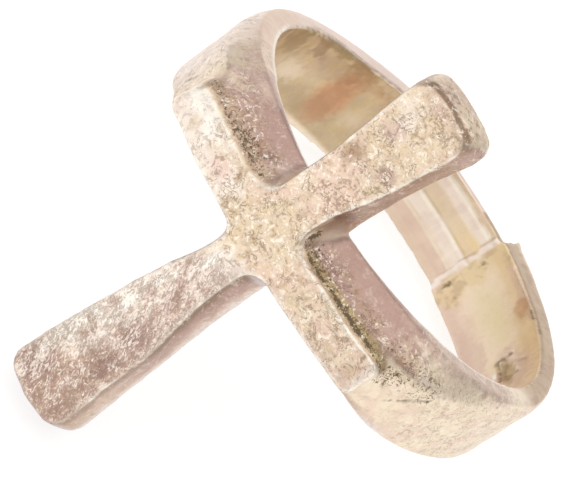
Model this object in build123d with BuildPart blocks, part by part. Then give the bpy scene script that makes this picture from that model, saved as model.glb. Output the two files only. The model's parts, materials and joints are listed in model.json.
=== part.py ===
"""Cast finger ring with a cross, laid down as it rests on a table.

The casting is modelled about its finger hole: X runs along the cross's bar, Y along the finger
towards the cross's short arm, and Z out through the cross's face. Angles round the finger start
at the cross and grow towards the bar's positive end. The finished casting is then laid on the
side that the long arm points to, where it stands on the arm's tip and two places of the band.
"""
import os
from dataclasses import dataclass
from math import atan2, cos, radians, sin, sqrt

from build123d import *

# Band: its width along the finger, and its wall at the thin places
finger_radius = 9.5
band_width = 4.0
band_wall = 1.0
rim_rounding = 0.25
ridge_rounding = 0.9
back_rounding = 0.45

# Thin piece let into the band where the ring was made larger
insert_width = 3.9
insert_wall = 0.65
insert_seat = 1.5
insert_edge_radius = 0.2

# Cross: how its arms reach from the finger's middle, and how wide they are from their own middle
long_arm_reach = 14.0
short_arm_reach = 9.08
arm_half_width = 2.0
end_bow = 0.1
long_end_draft = 0.2
short_end_draft = 0.42

# Bar of the cross: where it lies along the finger, and half its length
bar_near = 0.1
bar_far = 2.1
bar_half_length = 7.65
bar_corner_radius = 0.45

# Cross's face over the finger, its bend, and the flat underside that the arms keep
face_rise = 2.26
face_bend_radius = 19.1
face_edge_wear = 0.22
underside_rise = 0.06
hem_inset = 0.25
hem_height = 0.3


@dataclass(frozen=True)
class BandSection:
    """The band's section at one angle round the finger, in degrees.

    The places along the finger near, far and ridge are shares of the band's width, and the
    heights rim, crown and back over the finger hole's wall are shares of the band's wall.
    """

    angle: float
    near: float
    far: float
    rim: float
    ridge: float
    crown: float
    back: float


band_sections = (
    BandSection(angle=-151, near=0.525, far=0.625, rim=1.50, ridge=0.375, crown=1.70, back=1.60),
    BandSection(angle=-135, near=0.525, far=0.650, rim=1.40, ridge=0.375, crown=1.60, back=1.50),
    BandSection(angle=-115, near=0.475, far=0.690, rim=1.10, ridge=0.325, crown=1.30, back=1.20),
    BandSection(angle=-95, near=0.475, far=0.725, rim=1.00, ridge=0.325, crown=1.15, back=1.10),
    BandSection(angle=-77, near=0.460, far=0.775, rim=1.15, ridge=0.300, crown=1.40, back=1.35),
    BandSection(angle=-60, near=0.460, far=0.740, rim=1.10, ridge=0.225, crown=1.85, back=1.60),
    BandSection(angle=-45, near=0.450, far=0.610, rim=1.00, ridge=0.150, crown=2.50, back=2.10),
    BandSection(angle=-30, near=0.440, far=0.550, rim=0.65, ridge=0.100, crown=2.35, back=2.20),
    BandSection(angle=-15, near=0.425, far=0.540, rim=0.40, ridge=0.075, crown=1.80, back=1.80),
    BandSection(angle=0, near=0.425, far=0.540, rim=0.35, ridge=0.075, crown=1.55, back=1.60),
    BandSection(angle=15, near=0.425, far=0.540, rim=0.40, ridge=0.075, crown=1.80, back=1.80),
    BandSection(angle=30, near=0.440, far=0.560, rim=0.65, ridge=0.100, crown=2.35, back=2.20),
    BandSection(angle=45, near=0.450, far=0.645, rim=0.95, ridge=0.150, crown=2.60, back=2.35),
    BandSection(angle=60, near=0.460, far=0.700, rim=1.05, ridge=0.225, crown=1.90, back=1.70),
    BandSection(angle=77, near=0.475, far=0.690, rim=1.10, ridge=0.300, crown=1.35, back=1.20),
    BandSection(angle=95, near=0.475, far=0.660, rim=1.00, ridge=0.325, crown=1.15, back=1.00),
    BandSection(angle=115, near=0.500, far=0.625, rim=1.00, ridge=0.350, crown=1.15, back=1.00),
    BandSection(angle=135, near=0.525, far=0.575, rim=1.18, ridge=0.375, crown=1.35, back=1.20),
    BandSection(angle=152, near=0.525, far=0.540, rim=1.55, ridge=0.375, crown=1.70, back=1.55),
    BandSection(angle=169.5, near=0.540, far=0.525, rim=1.90, ridge=0.400, crown=2.00, back=1.80),
)


@dataclass(frozen=True)
class ArmSide:
    """One side of an arm, in shares.

    The places along the arm are shares of the arm's reach, and all other values, the spans from
    the arm's middle and the radii at its root and tip, are shares of the arms' half width.
    """

    root_radius: float
    root_span: float
    places: tuple
    spans: tuple
    tip_span: float
    tip_radius: float


@dataclass(frozen=True)
class CrossOutline:
    """The sides of the cross's two arms at one height, each named by where it lies."""

    long_left: ArmSide
    long_right: ArmSide
    short_left: ArmSide
    short_right: ArmSide


face_outline = CrossOutline(
    long_left=ArmSide(0.30, 0.44, (0.36, 0.57, 0.79), (0.63, 0.80, 0.94), 0.975, 0.425),
    long_right=ArmSide(0.55, 0.43, (0.36, 0.47, 0.58, 0.79), (0.46, 0.60, 0.76, 0.82), 0.88, 0.40),
    short_left=ArmSide(0.45, 0.635, (0.39, 0.66), (0.625, 0.71), 0.775, 0.35),
    short_right=ArmSide(0.30, 0.49, (0.21, 0.44, 0.72), (0.52, 0.78, 0.94), 0.99, 0.40),
)
base_outline = CrossOutline(
    long_left=ArmSide(0.30, 0.675, (0.36, 0.57, 0.79), (0.775, 0.925, 1.04), 1.075, 0.475),
    long_right=ArmSide(0.30, 0.79, (0.36, 0.47, 0.58, 0.79), (0.81, 0.85, 0.91, 1.01), 1.07, 0.50),
    short_left=ArmSide(0.45, 0.825, (0.39, 0.66), (0.81, 0.925), 1.01, 0.50),
    short_right=ArmSide(0.45, 0.875, (0.21, 0.44, 0.72), (0.86, 0.91, 1.06), 1.19, 0.40),
)

# Heights over the finger's axis
face_height = finger_radius + face_rise
arm_underside = finger_radius + underside_rise
hem_top = arm_underside + hem_height
blank_top = face_height + face_edge_wear
core_radius = finger_radius - band_wall / 2
bar_foot = sqrt((finger_radius + band_wall) ** 2 - bar_half_length ** 2)

# Reach of the arms at their base, and a length that passes the whole cross
long_base_reach = long_arm_reach + long_end_draft
short_base_reach = short_arm_reach + short_end_draft
past_cross = 2 * long_base_reach


def band_plane(angle):
    """The plane through the finger's axis at an angle: its X is the finger, its Y points outward."""
    turn = radians(angle)
    return Plane(origin=(0, 0, 0), x_dir=(0, 1, 0), z_dir=(cos(turn), 0, -sin(turn)))


def band_profile(row):
    """One section of the band, from inside the finger hole out over its ridge and back."""
    near = row.near * band_width
    far = row.far * band_width
    with BuildSketch(band_plane(row.angle)) as profile:
        with BuildLine():
            FilletPolyline(
                (near, core_radius),
                (near, finger_radius + row.rim * band_wall),
                (row.ridge * band_width, finger_radius + row.crown * band_wall),
                (-far, finger_radius + row.back * band_wall),
                (-far, core_radius),
                radius=(rim_rounding, ridge_rounding, back_rounding),
            )
            Line((-far, core_radius), (near, core_radius))
        make_face()
    return profile.sketch


def corner(start, end, centre):
    """Draws a quarter turn between two points about a centre."""
    start, end, centre = Vector(*start), Vector(*end), Vector(*centre)
    radius = (start - centre).length
    middle = centre + (start + end - centre * 2).normalized() * radius
    ThreePointArc(start, middle, end)


def span_of(share, inset):
    """A distance from an arm's middle, for a share of the half width moved in by an inset."""
    return share * arm_half_width - inset


def arm_side(side, across, along, root, reach, inset):
    """Draws one side of an arm, from the bar's edge at root to the start of the arm's end at reach.

    The signs across and along turn the side's spans and places into the cross's X and Y.
    """
    def place(span, way):
        return (across * span, along * way)

    root_span = span_of(side.root_span, inset)
    root_radius = side.root_radius * arm_half_width + inset
    tip_span = span_of(side.tip_span, inset)
    tip_radius = span_of(side.tip_radius, inset)
    foot = root + root_radius
    turned = root_span + root_radius
    corner(place(turned, root), place(root_span, foot), place(turned, foot))
    shoulder = reach - tip_radius
    middle = [place(span_of(span, inset), way * reach) for span, way in zip(side.spans, side.places)]
    straight = (0, along)
    Spline(place(root_span, foot), *middle, place(tip_span, shoulder), tangents=(straight, straight))
    inner = tip_span - tip_radius
    corner(place(tip_span, shoulder), place(inner, reach), place(inner, shoulder))


def arm_end(left, right, along, reach):
    """Draws an arm's slightly bowed end between its two rounded corners."""
    start = -(left.tip_span - left.tip_radius) * arm_half_width
    end = (right.tip_span - right.tip_radius) * arm_half_width
    crest = ((start + end) / 2, along * (reach + end_bow))
    ThreePointArc((start, along * reach), crest, (end, along * reach))


def bar_end(near_side, far_side, across):
    """Draws one half of the bar, round its end, between the roots of the two arms."""
    near_start = (near_side.root_span + near_side.root_radius) * arm_half_width
    far_start = (far_side.root_span + far_side.root_radius) * arm_half_width
    FilletPolyline(
        (across * near_start, bar_near),
        (across * bar_half_length, bar_near),
        (across * bar_half_length, -bar_far),
        (across * far_start, -bar_far),
        radius=bar_corner_radius,
    )


def cross_profile(outline, height, long_reach, short_reach, inset=0.0):
    """The whole cross as seen from above, at one height, with its sides and ends moved in by an inset."""
    long_reach = long_reach - inset
    short_reach = short_reach - inset
    with BuildSketch(Plane.XY.offset(height)) as profile:
        with BuildLine():
            arm_side(outline.long_left, -1, -1, bar_far, long_reach, inset)
            arm_end(outline.long_left, outline.long_right, -1, long_reach)
            arm_side(outline.long_right, 1, -1, bar_far, long_reach, inset)
            bar_end(outline.short_right, outline.long_right, 1)
            arm_side(outline.short_right, 1, 1, bar_near, short_reach, inset)
            arm_end(outline.short_left, outline.short_right, 1, short_reach)
            arm_side(outline.short_left, -1, 1, bar_near, short_reach, inset)
            bar_end(outline.short_left, outline.long_left, -1)
        make_face()
    return profile.sketch


# The band: one bend of metal round the finger, open where the insert goes
with BuildPart() as band:
    loft(sections=[band_profile(row) for row in band_sections])

# The insert: thinner than the band that it closes, and seated a little into both of its ends
insert_start = band_sections[-1].angle - insert_seat
insert_arc = 360 + band_sections[0].angle + insert_seat - insert_start
with BuildPart() as insert:
    with BuildSketch(band_plane(insert_start)):
        with BuildLine():
            FilletPolyline(
                (insert_width / 2, core_radius),
                (insert_width / 2, finger_radius + insert_wall),
                (-insert_width / 2, finger_radius + insert_wall),
                (-insert_width / 2, core_radius),
                radius=insert_edge_radius,
            )
            Line((-insert_width / 2, core_radius), (insert_width / 2, core_radius))
        make_face()
    revolve(axis=Axis.Y, revolution_arc=insert_arc)

# The cross: drafted sides, with a face that bends down towards the bar's ends
with BuildPart() as cross:
    hem = cross_profile(base_outline, arm_underside, long_base_reach, short_base_reach, hem_inset)
    base = cross_profile(base_outline, hem_top, long_base_reach, short_base_reach)
    blank = cross_profile(face_outline, blank_top, long_arm_reach, short_arm_reach)
    extrude(to_extrude=hem, amount=bar_foot - arm_underside)
    loft(sections=[hem, base, blank], ruled=True)
    with BuildSketch(Plane.XZ):
        with Locations((0, face_height - face_bend_radius)):
            Circle(face_bend_radius)
    extrude(amount=past_cross, both=True, mode=Mode.INTERSECT)
    # Beyond the band the arms are cut away down to their underside
    with BuildSketch(Plane.YZ):
        with Locations((-band_width / 2, arm_underside)):
            Rectangle(past_cross, past_cross, align=(Align.MAX, Align.MAX))
        with Locations((band_width * 3 / 8, arm_underside)):
            Rectangle(past_cross, past_cross, align=(Align.MIN, Align.MAX))
    extrude(amount=past_cross, both=True, mode=Mode.SUBTRACT)
    top = cross.faces().filter_by(GeomType.CYLINDER).sort_by(SortBy.AREA)[-1]
    fillet(top.edges(), face_edge_wear)

# The whole casting, with the finger hole cut through it
with BuildPart() as casting:
    add(band.part)
    add(insert.part)
    add(cross.part)
    Cylinder(finger_radius, past_cross, rotation=(90, 0, 0), mode=Mode.SUBTRACT)


def heel(row, slope):
    """Where the band's rounded far corner meets a table at a slope, at one angle round the finger."""
    turn = radians(row.angle)
    reach = row.far * band_width - back_rounding + back_rounding * cos(slope)
    radius = finger_radius + row.back * band_wall - back_rounding + back_rounding * sin(slope)
    return Vector(radius * sin(turn), -reach, radius * cos(turn))


# The table touches the tip of the long arm and the band's two thick ends beside the insert
tip_middle = (base_outline.long_right.tip_span - base_outline.long_left.tip_span) * arm_half_width / 2
tip = Vector(tip_middle, -(long_base_reach + end_bow), hem_top)
low_end, high_end = band_sections[0], band_sections[-1]
square_heel = heel(low_end, 0)
table_slope = atan2(square_heel.Y - tip.Y, tip.Z - square_heel.Z)
left_heel = heel(low_end, table_slope)
right_heel = heel(high_end, table_slope)
upward = (right_heel - tip).cross(left_heel - tip).normalized()
sideways = (Vector(1, 0, 0) - upward * upward.X).normalized()
table = Plane(origin=tip, x_dir=sideways, z_dir=upward)
laid = table.to_local_coords(casting.part)
box = laid.bounding_box()

# The ring as it rests, with its origin on the table under its middle
with BuildPart() as cast_ring:
    with Locations((-box.center().X, -box.center().Y, -box.min.Z)):
        add(laid)

os.makedirs("parts", exist_ok=True)
cast_ring.part.label = "cast_ring"
export_step(cast_ring.part, "parts/cast_ring.step")
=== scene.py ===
"""Dresses the cast cross ring: worn, stained silver on a pale floor, seen from the photograph's angle.

Every length is in metres in the frame, and in millimetres in the ring's own axes: X along the
cross's bar, Y along the finger towards the short arm, Z out of the cross. Angles round the finger
are in degrees, from the cross towards the bar's positive end.
"""
import json
import logging
from dataclasses import dataclass
from enum import Enum
from math import cos, pi, radians, sin

import bmesh
import bpy
import numpy as np
from bpy.types import Material, Mesh, Node, NodeSocket, NodeTree, Object
from mathutils import Matrix, Vector, noise


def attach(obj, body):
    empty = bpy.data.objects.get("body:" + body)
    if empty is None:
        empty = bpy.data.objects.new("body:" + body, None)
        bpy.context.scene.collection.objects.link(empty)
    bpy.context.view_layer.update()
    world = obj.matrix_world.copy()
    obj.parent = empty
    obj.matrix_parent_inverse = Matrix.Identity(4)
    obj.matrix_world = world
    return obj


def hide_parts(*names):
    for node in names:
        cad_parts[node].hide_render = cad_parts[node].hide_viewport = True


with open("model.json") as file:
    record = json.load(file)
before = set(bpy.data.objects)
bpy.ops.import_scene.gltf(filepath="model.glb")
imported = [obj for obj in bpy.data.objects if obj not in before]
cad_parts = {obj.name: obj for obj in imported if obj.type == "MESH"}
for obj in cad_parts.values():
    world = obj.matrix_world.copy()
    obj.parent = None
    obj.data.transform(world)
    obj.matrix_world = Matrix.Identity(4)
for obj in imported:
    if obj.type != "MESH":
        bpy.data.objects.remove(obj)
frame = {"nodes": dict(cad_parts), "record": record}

log = logging.getLogger("cross_ring")

MM = 0.001

# Sizes of the ring that the carving follows, in millimetres and degrees
HOLE_RADIUS = 9.5
BORE_OFFSET = 0.4
FACE_HEIGHT = 11.76
FACE_BEND = 19.1
INSERT_ARC = (169.5, 209)

# The photograph's frame and its camera, about the middle of the finger hole
PHOTO_WIDTH = 565
PHOTO_HEIGHT = 500
HOLE_PIXEL = (375.4, 229.4)


class Zone(Enum):
    """The finishes of the ring's skin, by material slot."""

    CAST = 0
    INNER = 1
    INSERT = 2


class Sheet(Enum):
    """The surfaces that a mark's place can be given on."""

    BAND = "degrees round the finger, millimetres along it"
    CROSS = "millimetres along the bar, millimetres along the arms"


class Tint(Enum):
    """The colours of the metal, its marks and its painted light and shade, as linear shares of red, green
    and blue.
    """

    SAND = (0.74, 0.60, 0.45)
    CREAM = (0.88, 0.75, 0.58)
    ROSE = (0.78, 0.57, 0.49)
    PALE = (0.92, 0.83, 0.76)
    GOLD = (0.78, 0.62, 0.36)
    HONEY = (0.88, 0.70, 0.44)
    MOSS = (0.80, 0.70, 0.45)
    OLIVE = (0.46, 0.35, 0.19)
    MAUVE = (0.62, 0.45, 0.40)
    FAWN = (0.64, 0.47, 0.39)
    DUSK = (0.50, 0.34, 0.29)
    PLUM = (0.40, 0.26, 0.24)
    BROWN = (0.42, 0.28, 0.18)
    UMBER = (0.27, 0.18, 0.12)
    RUST = (0.50, 0.24, 0.10)
    ORANGE = (0.66, 0.36, 0.20)
    LAVENDER = (0.93, 0.86, 0.87)
    WHITE = (0.99, 0.95, 0.87)
    WORN = (1.0, 0.93, 0.82)
    ASH = (0.60, 0.53, 0.54)
    GRIME = (0.17, 0.12, 0.07)
    SOOT = (0.09, 0.06, 0.03)


def rise(low: float, high: float, values: np.ndarray) -> np.ndarray:
    """A soft step from 0 at low to 1 at high, or a falling one where high is below low."""
    share = np.clip((values - low) / (high - low), 0, 1)
    return share * share * (3 - 2 * share)


def fade(low: float, high: float, values: np.ndarray) -> np.ndarray:
    """A soft step from 1 at low to 0 at high."""
    return 1 - rise(low, high, values)


def between(low: float, high: float, soft: float, values: np.ndarray) -> np.ndarray:
    """A soft window: 1 between low and high, 0 beyond them by the soft width."""
    return rise(low - soft, low, values) * fade(high, high + soft, values)


def add_object(name: str, data: object) -> Object:
    """Makes an object of its data and links it into the scene."""
    made = bpy.data.objects.new(name, data)
    bpy.context.scene.collection.objects.link(made)
    return made


@dataclass(frozen=True)
class RingAxes:
    """The ring's own axes in the frame.

    Args:
        origin: the middle of the finger hole under the cross, in metres.
        turn: a matrix whose columns are the ring's X, Y and Z.
    """

    origin: np.ndarray
    turn: np.ndarray

    @classmethod
    def from_bore(cls, mount: dict) -> "RingAxes":
        """Finds the axes from the stated finger bore.

        Args:
            mount: the record's bore mount, with its place and axis.

        Returns:
            The axes, with the bar's direction level from front to back.
        """
        along = np.array(mount["axis"], float)
        along /= np.linalg.norm(along)
        across = np.cross((0, 1, 0), along)
        across /= np.linalg.norm(across)
        outward = np.cross(across, along)
        origin = np.array(mount["pos_m"], float) + along * BORE_OFFSET * MM
        return cls(origin, np.stack((across, along, outward), axis=1))

    def to_frame(self, points: np.ndarray) -> np.ndarray:
        """Ring points in millimetres as frame points in metres."""
        return points * MM @ self.turn.T + self.origin


class Skin:
    """A dense mesh in the ring's axes, carved, tinted and masked point by point."""

    def __init__(self, mesh: Mesh) -> None:
        """Reads the mesh's points and edges.

        Args:
            mesh: the mesh to carve, in the ring's axes.
        """
        self.mesh = mesh
        self.count = len(mesh.vertices)
        pairs = np.empty(len(mesh.edges) * 2, np.int32)
        mesh.edges.foreach_get("vertices", pairs)
        self.ends = pairs.reshape(-1, 2)
        self.degree = np.bincount(pairs, minlength=self.count).astype(float)
        self.tints = np.ones((self.count, 3))
        self.read()

    def read(self) -> None:
        """Reads the points and normals as they now are."""
        flat = np.empty(self.count * 3, np.float32)
        self.mesh.vertices.foreach_get("co", flat)
        self.points = flat.reshape(-1, 3).astype(float)
        self.mesh.vertices.foreach_get("normal", flat)
        self.normals = flat.reshape(-1, 3).astype(float)
        x, _, z = self.points.T
        self.radius = np.hypot(x, z)
        self.angle = np.degrees(np.arctan2(x, z))
        self.turn = self.angle % 360

    def spread(self, values: np.ndarray, rounds: int) -> np.ndarray:
        """Averages values with their neighbours'.

        Args:
            values: one number or one row per point.
            rounds: how many times each point takes its neighbours' mean.

        Returns:
            The averaged values.
        """
        first, second = self.ends[:, 0], self.ends[:, 1]
        columns = np.atleast_2d(values.T)
        for _ in range(rounds):
            columns = np.array([
                0.5 * column + 0.5 * (
                    np.bincount(first, column[second], self.count)
                    + np.bincount(second, column[first], self.count)
                ) / self.degree
                for column in columns
            ])
        return columns.T if values.ndim > 1 else columns[0]

    def hollow(self, rounds: int) -> np.ndarray:
        """How far the surface lies under its own average: above 0 in a crease, below 0 on an edge."""
        return np.einsum("ij,ij->i", self.spread(self.points, rounds) - self.points, self.normals)

    def shift(self, heights: np.ndarray) -> None:
        """Moves each point along its normal by a height in millimetres."""
        self.move(self.normals * heights[:, None])

    def move(self, runs: np.ndarray) -> None:
        """Moves each point by its own run, in millimetres."""
        self.mesh.vertices.foreach_set("co", (self.points + runs).astype(np.float32).ravel())
        self.mesh.update()
        self.read()

    def lay(self, mask: np.ndarray, tint: Tint) -> None:
        """Blends a tint over the skin's colour by a mask."""
        share = np.clip(mask, 0, 1)[:, None]
        self.tints = self.tints * (1 - share) + np.array(tint.value) * share

    def coat(self, region: np.ndarray, *layers: tuple) -> None:
        """Blends tints over one region, from first to last, each by its own mask or number."""
        for mask, tint in layers:
            self.lay(region * mask, tint)

    def store(self, name: str, values: np.ndarray) -> None:
        """Stores a mask from 0 to 1 for the materials."""
        layer = self.mesh.attributes.new(name, "FLOAT", "POINT")
        layer.data.foreach_set("value", np.clip(values, 0, 1).astype(np.float32))

    def store_tints(self) -> None:
        """Stores the skin's colour and its place in the ring's axes for the materials."""
        places = self.mesh.attributes.new("place", "FLOAT_VECTOR", "POINT")
        places.data.foreach_set("vector", self.points.astype(np.float32).ravel())
        layer = self.mesh.attributes.new("tint", "FLOAT_COLOR", "POINT")
        rows = np.concatenate((self.tints, np.ones((self.count, 1))), axis=1)
        layer.data.foreach_set("color", rows.astype(np.float32).ravel())

    def clouds(self, size: float, octaves: int, seed: float, along: tuple = (1, 1, 1)) -> np.ndarray:
        """Cloudy noise over the surface.

        Args:
            size: the width of its largest lumps, in millimetres.
            octaves: how many halvings of that size it holds.
            seed: shifts the pattern.
            along: how far the lumps stretch along each of the ring's axes.

        Returns:
            One number per point, about -1 to 1.
        """
        start = Vector((seed, 2 * seed, -seed))
        return np.array([
            noise.fractal(Vector(point) + start, 0.8, 2, octaves, noise_basis="PERLIN_ORIGINAL")
            for point in self.points / size / np.array(along)
        ])

    def near_line(self, start: tuple, end: tuple) -> np.ndarray:
        """Each point's distance from a straight line between two points, in millimetres."""
        first, run = np.array(start), np.array(end) - np.array(start)
        share = np.clip((self.points - first) @ run / (run @ run), 0, 1)
        return np.linalg.norm(self.points - first - share[:, None] * run, axis=1)


@dataclass(frozen=True)
class ColourPatch:
    """A patch of another colour on one sheet of the ring: a stained patch, or a painted highlight.

    Args:
        sheet: the surface that it lies on.
        place: its middle, in the sheet's own measures.
        reach: its half widths round or across, and along, in millimetres.
        tint: its colour.
        share: how strongly it covers.
        ragged: how far noise breaks up its edge.
        depth: how far it is sunk, in millimetres.
    """

    sheet: Sheet
    place: tuple
    reach: tuple
    tint: Tint
    share: float = 0.8
    ragged: float = 0.5
    depth: float = 0.0

    def mask(self, skin: Skin, ragged: np.ndarray) -> np.ndarray:
        """How much of each point the colour patch covers."""
        if self.sheet is Sheet.BAND:
            turn = (skin.angle - self.place[0] + 180) % 360 - 180
            across = np.radians(turn) * HOLE_RADIUS
        else:
            across = skin.points[:, 0] - self.place[0]
        away = np.hypot(across / self.reach[0], (skin.points[:, 1] - self.place[1]) / self.reach[1])
        return self.share * fade(0.45, 1.25, away + self.ragged * ragged)


@dataclass(frozen=True)
class Scratch:
    """A thin dark line cut into the skin, through points in the ring's axes."""

    points: tuple
    width: float
    depth: float
    share: float = 0.8

    def mask(self, skin: Skin, ragged: np.ndarray) -> np.ndarray:
        """How much of each point the scratch takes."""
        away = np.min([skin.near_line(a, b) for a, b in zip(self.points, self.points[1:])], axis=0)
        return fade(self.width * 0.4, self.width, away + 0.06 * ragged)


@dataclass(frozen=True)
class Nodes:
    """Short ways to add nodes to one node tree."""

    tree: NodeTree

    def add(self, kind: str, inputs: dict, **settings: object) -> Node:
        """Adds a node.

        Args:
            kind: the node's type name after ShaderNode.
            inputs: what its inputs take, by name or number.
            settings: properties of the node, by name.

        Returns:
            The new node.
        """
        node = self.tree.nodes.new("ShaderNode" + kind)
        for name, value in settings.items():
            setattr(node, name, value)
        self.fill(node, inputs)
        return node

    def fill(self, node: Node, inputs: dict) -> None:
        """Links each named input to an output, or sets it to a plain value."""
        for name, source in inputs.items():
            if isinstance(source, NodeSocket):
                self.tree.links.new(source, node.inputs[name])
            else:
                node.inputs[name].default_value = source

    def math(self, operation: str, *values: object) -> object:
        """The result of a sum on one, two or three values."""
        return self.add("Math", dict(enumerate(values)), operation=operation).outputs[0]

    def times(self, first: object, second: object) -> object:
        """One value times another."""
        return self.math("MULTIPLY", first, second)

    def rest(self, share: object) -> object:
        """What a share leaves of 1."""
        return self.math("SUBTRACT", 1, share)

    def blend(self, first: object, first_share: float, second: object, second_share: float) -> object:
        """The sum of two values, each times its own share."""
        return self.math("ADD", self.times(first, first_share), self.times(second, second_share))

    def mix(self, share: object, first: object, second: object) -> object:
        """A colour between two colours."""
        inputs = {"Factor": share, "A": first, "B": second}
        return self.add("Mix", inputs, data_type="RGBA").outputs["Result"]

    def noise(self, place: object, size: float, detail: float, rough: float, swirl: float) -> object:
        """Cloudy noise with lumps of a size in millimetres."""
        look = {"Scale": 1 / size, "Detail": detail, "Roughness": rough, "Distortion": swirl}
        return self.add("TexNoise", {"Vector": place, **look}).outputs["Fac"]

    def ramp(self, value: object, low: float, high: float) -> object:
        """A soft mask that rises from 0 at low to 1 at high."""
        inputs = {"Value": value, "From Min": low, "From Max": high}
        return self.add("MapRange", inputs, interpolation_type="SMOOTHSTEP").outputs["Result"]

    def folds(self, noise: object, low: float, high: float) -> object:
        """Thin lines where a noise passes its middle value."""
        away = self.math("ABSOLUTE", self.math("SUBTRACT", noise, 0.5))
        return self.rest(self.ramp(away, low, high))

    def stored(self, name: str, output: str = "Fac") -> object:
        """A mask, or by another output a place or colour, that the carving stored on the mesh."""
        return self.add("Attribute", {}, attribute_name=name, attribute_type="GEOMETRY").outputs[output]


class SharedEffects:
    """The node groups that more than one of the ring's finishes uses."""

    def __init__(self) -> None:
        """Builds each group once."""
        self.grain = self._grain()
        self.foil = self._foil()
        self.grime_and_shadow = self._grime_and_shadow()

    @staticmethod
    def _group(name: str, amount: str, *outputs: str) -> tuple:
        """Starts a group that works on a place and one amount.

        Args:
            name: the group's name.
            amount: the name of the amount's input.
            outputs: the names of the numbers that it gives.

        Returns:
            The group, its node helper, and its inner input and output nodes.
        """
        group = bpy.data.node_groups.new(name, "ShaderNodeTree")
        group.interface.new_socket("Place", in_out="INPUT", socket_type="NodeSocketVector")
        group.interface.new_socket(amount, in_out="INPUT", socket_type="NodeSocketFloat")
        for label in outputs:
            group.interface.new_socket(label, in_out="OUTPUT", socket_type="NodeSocketFloat")
        start = group.nodes.new("NodeGroupInput")
        end = group.nodes.new("NodeGroupOutput")
        return group, Nodes(group), start, end

    def _grain(self) -> NodeTree:
        """The granular skin of cast metal: its height, and masks of light flecks, which are painted
        glints, and dark flecks.
        """
        group, nodes, start, end = self._group("cast_grain", "Strength", "Height", "Light", "Dark")
        place, strength = start.outputs["Place"], start.outputs["Strength"]
        coarse = nodes.noise(place, 0.48, 3, 0.65, 1.2)
        fine = nodes.noise(place, 0.13, 2, 0.6, 0.5)
        both = nodes.blend(coarse, 0.7, fine, 0.3)
        line = nodes.folds(nodes.noise(place, 0.5, 2, 0.6, 1.8), 0.004, 0.035)
        patchy = nodes.ramp(nodes.noise(place, 0.9, 2, 0.6, 0.4), 0.44, 0.6)
        cut = nodes.times(line, patchy)
        dent = nodes.rest(nodes.ramp(both, 0.38, 0.47))
        dark = nodes.math("MAXIMUM", cut, nodes.times(dent, 0.8))
        light = nodes.times(nodes.ramp(both, 0.53, 0.62), nodes.rest(cut))
        fleck = nodes.ramp(nodes.noise(place, 0.11, 2, 0.6, 0.3), 0.66, 0.71)
        height = nodes.math("SUBTRACT", both, nodes.times(cut, 0.25))
        fleck = nodes.times(fleck, nodes.ramp(strength, 0.2, 0.5))
        nodes.fill(end, {
            "Height": nodes.times(height, strength),
            "Light": nodes.math("MAXIMUM", nodes.times(light, strength), fleck),
            "Dark": nodes.times(dark, strength),
        })
        return group

    def _foil(self) -> NodeTree:
        """Slanting strokes of beaten foil: their height, and masks of light strokes, painted highlights on
        the crests, and dark strokes, painted shade in the creases.
        """
        group, nodes, start, end = self._group("beaten_strokes", "Strength", "Height", "Light", "Dark")
        slant = {"Vector": start.outputs["Place"], "Rotation": (0, 0, radians(25)), "Scale": (1, 2.2, 1)}
        place = nodes.add("Mapping", slant, vector_type="TEXTURE").outputs["Vector"]
        strokes = nodes.noise(place, 0.15, 2, 0.6, 1.4)
        broad = nodes.noise(place, 0.8, 2, 0.5, 0.6)
        both = nodes.blend(strokes, 0.65, broad, 0.35)
        crease = nodes.folds(nodes.noise(place, 0.3, 2, 0.6, 1.6), 0.012, 0.045)
        crease = nodes.times(crease, nodes.ramp(nodes.rest(broad), 0.4, 0.55))
        light = nodes.ramp(both, 0.535, 0.56)
        dark = nodes.rest(nodes.ramp(both, 0.44, 0.475))
        dark = nodes.math("MAXIMUM", nodes.times(dark, 0.8), nodes.times(crease, 0.9))
        for name, value in (("Height", both), ("Light", light), ("Dark", dark)):
            nodes.fill(end, {name: nodes.times(value, start.outputs["Strength"])})
        return group

    def _grime_and_shadow(self) -> NodeTree:
        """Dark soiling and painted shadow that gather by a mask and break up into grains."""
        group, nodes, start, end = self._group("hollow_grime_and_shadow", "Amount", "Mask")
        specks = nodes.noise(start.outputs["Place"], 0.15, 3, 0.7, 0.9)
        lifted = nodes.math("ADD", nodes.times(start.outputs["Amount"], 0.6), specks)
        nodes.fill(end, {"Mask": nodes.ramp(lifted, 0.85, 0.95)})
        return group


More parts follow.
